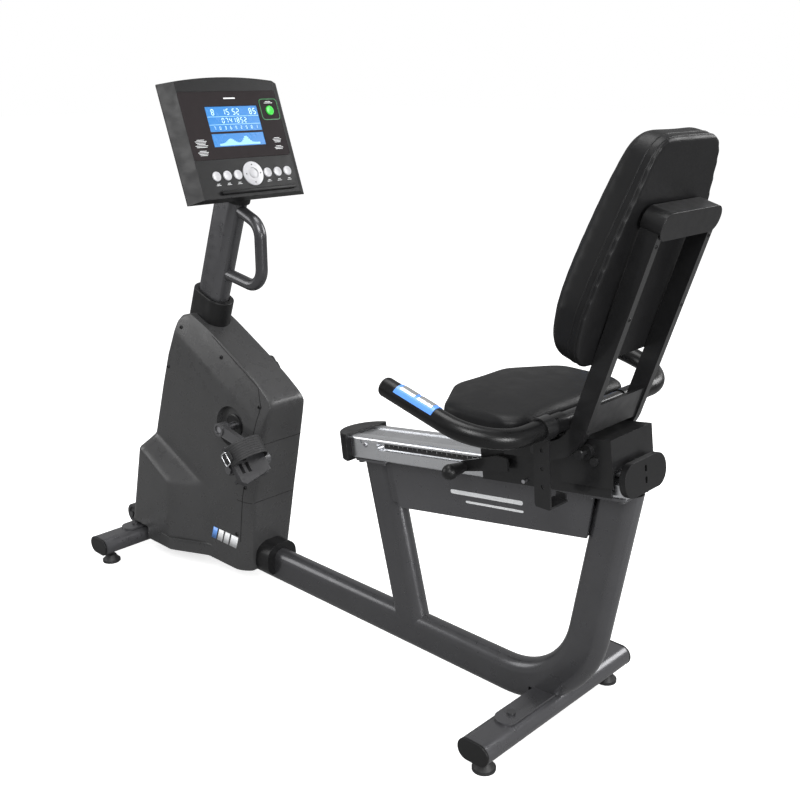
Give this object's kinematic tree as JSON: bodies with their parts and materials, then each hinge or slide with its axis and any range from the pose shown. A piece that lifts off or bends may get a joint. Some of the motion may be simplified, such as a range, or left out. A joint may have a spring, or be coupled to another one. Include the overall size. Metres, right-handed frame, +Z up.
{
  "type": "recumbent exercise bike",
  "caption": "Recumbent exercise bike: bent oval-tube frame, enclosed belt drive, console on a leaning post, and a padded seat with back and hand rails sliding on an inclined rail",
  "frame": {"origin": "on the floor, at the middle of the bounding box's footprint", "axes": "+X runs rearward from the console to the seat, +Y to the rider's right, +Z up"},
  "size_m": [1.671, 0.643, 1.2902],
  "materials": {
    "frame_paint": "satin dark charcoal paint with a fine metallic flake",
    "housing_plastic": "fine-textured dark grey moulded plastic",
    "black_plastic": "textured black moulded plastic",
    "console_plastic": "satin black moulded plastic",
    "panel_face": "gloss dark brown-black overlay",
    "screen": "lit blue display window",
    "button_silver": "silver buttons",
    "button_green": "green button",
    "steel": "zinc-plated steel",
    "flywheel_iron": "machined cast iron",
    "belt_rubber": "ribbed black belt",
    "rail_aluminium": "satin anodised extrusion",
    "arm_silver": "silver paint",
    "dark_steel": "dark grey powder coat",
    "vinyl": "soft black vinyl upholstery with stitched seams",
    "grip_foam": "soft black foam",
    "sensor_blue": "blue moulded plastic",
    "sensor_steel": "polished contact plates",
    "pedal_plastic": "black glass-filled plastic",
    "strap_rubber": "ribbed black strap",
    "wheel_plastic": "grey moulded plastic",
    "ruler_black": "black strip with pale tick marks"
  },
  "bodies": {
    "frame": {"main_frame": "frame_paint", "front_stabiliser": "frame_paint", "rear_stabiliser": "frame_paint", "stabiliser_end_caps": "black_plastic", "levelling_feet": "steel", "frame_bolts": "steel", "left_cover": "housing_plastic", "right_cover": "housing_plastic", "cover_screws": "steel", "tube_boot": "black_plastic", "post_collar": "black_plastic", "console_post": "frame_paint", "console_housing": "console_plastic", "console_back": "console_plastic", "console_panel": "panel_face", "lcd_display": "screen", "crank_bearings": "steel", "drive_belt": "belt_rubber", "seat_rail": "rail_aluminium", "rail_front_cap": "black_plastic", "rail_rear_cap": "black_plastic", "ruler_strips": "ruler_black"},
    "left_wheel": {"left_transport_wheel": "wheel_plastic"},
    "right_wheel": {"right_transport_wheel": "wheel_plastic"},
    "start": {"start_button": "button_green"},
    "control": {"control_button": "button_silver"},
    "key_1": {"keypad_button_1": "button_silver"},
    "key_2": {"keypad_button_2": "button_silver"},
    "key_3": {"keypad_button_3": "button_silver"},
    "key_4": {"keypad_button_4": "button_silver"},
    "key_5": {"keypad_button_5": "button_silver"},
    "key_6": {"keypad_button_6": "button_silver"},
    "flywheel": {"flywheel": "flywheel_iron", "flywheel_axle": "steel"},
    "crank": {"crank_axle": "steel", "drive_pulley": "black_plastic", "left_crank_arm": "arm_silver", "right_crank_arm": "arm_silver", "pedal_spindles": "steel"},
    "left_foot_pedal": {"left_pedal": "pedal_plastic", "left_pedal_strap": "strap_rubber"},
    "right_foot_pedal": {"right_pedal": "pedal_plastic", "right_pedal_strap": "strap_rubber"},
    "seat": {"seat_carriage": "dark_steel", "seat_pan": "black_plastic", "seat_cushion": "vinyl", "back_frame": "dark_steel", "back_cap": "black_plastic", "back_cushion": "vinyl", "handlebar": "dark_steel", "handlebar_grips": "grip_foam", "pulse_sensors": "sensor_blue", "sensor_plates": "sensor_steel", "accessory_bracket": "dark_steel", "seat_bolts": "steel"},
    "front_roller_pair": {"front_rollers": "wheel_plastic"},
    "rear_roller_pair": {"rear_rollers": "wheel_plastic"},
    "seat_lever": {"release_lever": "dark_steel", "lever_knob": "black_plastic"},
    "shoe": {"lock_shoe": "steel"}
  },
  "joints": [
    {"name": "left_wheel_spin", "type": "hinge", "parent": "frame", "child": "left_wheel", "pos_m": [-0.80753, -0.085, 0.084], "axis": [0, 1, 0], "continuous": true},
    {"name": "right_wheel_spin", "type": "hinge", "parent": "frame", "child": "right_wheel", "pos_m": [-0.80753, 0.085, 0.084], "axis": [0, 1, 0], "continuous": true},
    {"name": "start_press", "type": "slide", "parent": "frame", "child": "start", "axis": [0.9397, 0, 0.342], "range_m": [-0.0015, 0], "stiffness_N_per_m": 300, "springref_m": 0.0004},
    {"name": "control_press", "type": "slide", "parent": "frame", "child": "control", "axis": [0.9397, 0, 0.342], "range_m": [-0.0015, 0], "stiffness_N_per_m": 300, "springref_m": 0.0004},
    {"name": "key_1_press", "type": "slide", "parent": "frame", "child": "key_1", "axis": [0.9397, 0, 0.342], "range_m": [-0.0015, 0], "stiffness_N_per_m": 300, "springref_m": 0.0004},
    {"name": "key_2_press", "type": "slide", "parent": "frame", "child": "key_2", "axis": [0.9397, 0, 0.342], "range_m": [-0.0015, 0], "stiffness_N_per_m": 300, "springref_m": 0.0004},
    {"name": "key_3_press", "type": "slide", "parent": "frame", "child": "key_3", "axis": [0.9397, 0, 0.342], "range_m": [-0.0015, 0], "stiffness_N_per_m": 300, "springref_m": 0.0004},
    {"name": "key_4_press", "type": "slide", "parent": "frame", "child": "key_4", "axis": [0.9397, 0, 0.342], "range_m": [-0.0015, 0], "stiffness_N_per_m": 300, "springref_m": 0.0004},
    {"name": "key_5_press", "type": "slide", "parent": "frame", "child": "key_5", "axis": [0.9397, 0, 0.342], "range_m": [-0.0015, 0], "stiffness_N_per_m": 300, "springref_m": 0.0004},
    {"name": "key_6_press", "type": "slide", "parent": "frame", "child": "key_6", "axis": [0.9397, 0, 0.342], "range_m": [-0.0015, 0], "stiffness_N_per_m": 300, "springref_m": 0.0004},
    {"name": "crank_spin", "type": "hinge", "parent": "frame", "child": "crank", "pos_m": [-0.35353, 0, 0.45], "axis": [0, 1, 0], "continuous": true},
    {"name": "flywheel_spin", "type": "hinge", "parent": "frame", "child": "flywheel", "pos_m": [-0.56853, 0, 0.205], "axis": [0, 1, 0], "continuous": true},
    {"name": "left_pedal_spin", "type": "hinge", "parent": "crank", "child": "left_foot_pedal", "pos_m": [-0.1848, -0.16, 0.41659], "axis": [0, 1, 0], "continuous": true},
    {"name": "right_pedal_spin", "type": "hinge", "parent": "crank", "child": "right_foot_pedal", "pos_m": [-0.52225, 0.16, 0.48341], "axis": [0, 1, 0], "continuous": true},
    {"name": "seat_slide", "type": "slide", "parent": "frame", "child": "seat", "axis": [0.9903, 0, 0.1392], "range_m": [-0.3, 0]},
    {"name": "front_roller_spin", "type": "hinge", "parent": "seat", "child": "front_roller_pair", "pos_m": [0.48666, 0, 0.56301], "axis": [0, 1, 0], "range_deg": [-2160, 20]},
    {"name": "rear_roller_spin", "type": "hinge", "parent": "seat", "child": "rear_roller_pair", "pos_m": [0.72234, 0, 0.59613], "axis": [0, 1, 0], "range_deg": [-2160, 20]},
    {"name": "lever_lift", "type": "hinge", "parent": "seat", "child": "seat_lever", "pos_m": [0.50988, -0.077, 0.57738], "axis": [0, 1, 0], "range_deg": [0, 25]},
    {"name": "shoe_release", "type": "slide", "parent": "seat", "child": "shoe", "axis": [0, -1, 0], "range_m": [0, 0.0019]}
  ],
  "couplings": [
    {"joint": "flywheel_spin", "follows": "crank_spin", "ratio": 4},
    {"joint": "front_roller_spin", "follows": "seat_slide", "rad_per_m": 125},
    {"joint": "rear_roller_spin", "follows": "seat_slide", "rad_per_m": 125},
    {"joint": "shoe_release", "follows": "lever_lift", "m_per_rad": 0.0041}
  ]
}
